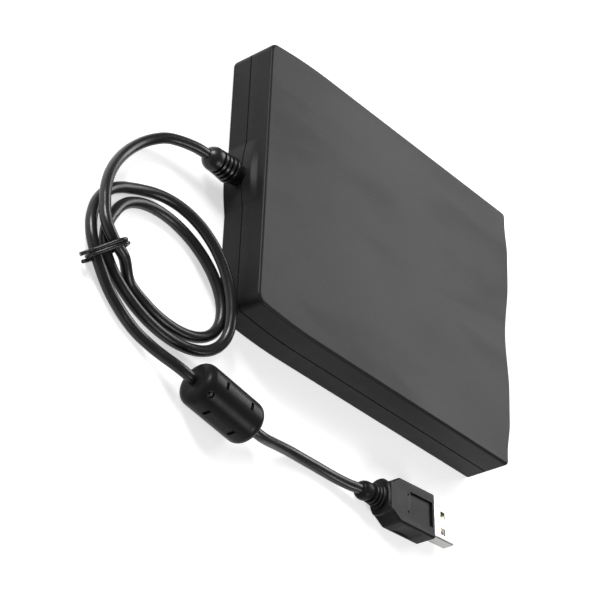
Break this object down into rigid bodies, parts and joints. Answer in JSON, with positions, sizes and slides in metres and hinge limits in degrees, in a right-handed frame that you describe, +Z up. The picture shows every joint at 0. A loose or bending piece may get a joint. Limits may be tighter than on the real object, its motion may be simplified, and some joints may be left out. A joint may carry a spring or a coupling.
{
  "type": "external floppy disk drive",
  "caption": "Slim external disk drive with a slot door, eject slide, lowering disk cradle, moving heads, and a coiled USB cable with ferrite bead.",
  "frame": {"origin": "on the table, under the middle of the drive's housing", "axes": "+X right and -Y front as the user sees the slot, +Y towards the cable exit, +Z up"},
  "size_m": [0.1433, 0.193, 0.0175],
  "materials": {
    "black_plastic": "fine satin texture",
    "plug_plastic": "satin",
    "cord_plastic": "satin",
    "rubber": "matte",
    "green_lens": "clear tinted",
    "steel_pin": "ground",
    "zinc_sheet": "zinc plated",
    "plated_steel": "nickel plated",
    "gold_contact": "gold plated",
    "bronze": "sintered",
    "copper_wire": "enamelled",
    "circuit_board": "solder mask",
    "chip_plastic": "matte",
    "grey_plastic": "matte",
    "white_plastic": "matte",
    "wire_plastic": "satin",
    "head_ceramic": "polished"
  },
  "bodies": {
    "housing": {"top_cover": "black_plastic", "bottom_cover": "black_plastic", "front_bezel": "black_plastic", "activity_light": "green_lens", "door_hinge_pin": "steel_pin", "door_spring": "steel_pin", "foot_1": "rubber", "foot_2": "rubber", "foot_3": "rubber", "foot_4": "rubber", "case_screws": "steel_pin", "chassis_screws": "steel_pin", "chassis": "zinc_sheet", "mechanism_cover": "zinc_sheet", "motor_board": "circuit_board", "stator_coils": "copper_wire", "spindle_bearing": "bronze", "stepper_motor": "zinc_sheet", "guide_rod": "steel_pin", "usb_board": "circuit_board", "board_chips": "chip_plastic", "disk_switches": "white_plastic", "ribbon": "white_plastic", "inner_wires": "wire_plastic", "cord_relief": "cord_plastic", "cord_lead": "cord_plastic", "cord_coil": "cord_plastic", "cord_run": "cord_plastic", "ferrite_bead": "plug_plastic", "cord_tail": "cord_plastic", "coil_tie": "cord_plastic", "plug_body": "plug_plastic", "plug_shell": "plated_steel", "plug_tongue": "white_plastic", "plug_contacts": "gold_contact"},
    "door": {"disk_door": "black_plastic"},
    "slide": {"slide_plate": "zinc_sheet", "eject_button": "black_plastic"},
    "cradle": {"disk_cradle": "zinc_sheet"},
    "spindle": {"spindle_rotor": "zinc_sheet", "spindle_hub": "steel_pin"},
    "screw": {"lead_screw": "steel_pin"},
    "carriage": {"head_carriage": "grey_plastic", "lower_head": "head_ceramic", "arm_hinge_pin": "steel_pin"},
    "arm": {"upper_head_arm": "zinc_sheet", "upper_head": "head_ceramic"}
  },
  "joints": [
    {"name": "eject_slide", "type": "slide", "parent": "housing", "child": "slide", "axis": [0, -1, 0], "range_m": [0, 0.005]},
    {"name": "cradle_drop", "type": "slide", "parent": "housing", "child": "cradle", "axis": [0, 0, -1], "range_m": [0, 0.0022]},
    {"name": "door_hinge", "type": "hinge", "parent": "housing", "child": "door", "pos_m": [0, -0.0609, 0.014], "axis": [1, 0, 0], "range_deg": [0, 85], "stiffness_Nm_per_rad": 0.0004, "springref_deg": -17.19},
    {"name": "spindle_spin", "type": "hinge", "parent": "housing", "child": "spindle", "pos_m": [0, -0.014, 0.0088], "axis": [0, 0, 1], "continuous": true},
    {"name": "head_slide", "type": "slide", "parent": "housing", "child": "carriage", "axis": [0, -1, 0], "range_m": [0, 0.0148]},
    {"name": "screw_turn", "type": "hinge", "parent": "housing", "child": "screw", "pos_m": [0.017, 0.0332, 0.0085], "axis": [0, 1, 0], "range_deg": [0, 1777]},
    {"name": "arm_lift", "type": "hinge", "parent": "carriage", "child": "arm", "pos_m": [0, 0.0515, 0.0132], "axis": [1, 0, 0], "range_deg": [0, 9.5]}
  ],
  "couplings": [
    {"joint": "cradle_drop", "follows": "eject_slide", "ratio": 0.44},
    {"joint": "arm_lift", "follows": "eject_slide", "rad_per_m": 33.158},
    {"joint": "screw_turn", "follows": "head_slide", "rad_per_m": 2094.4}
  ]
}
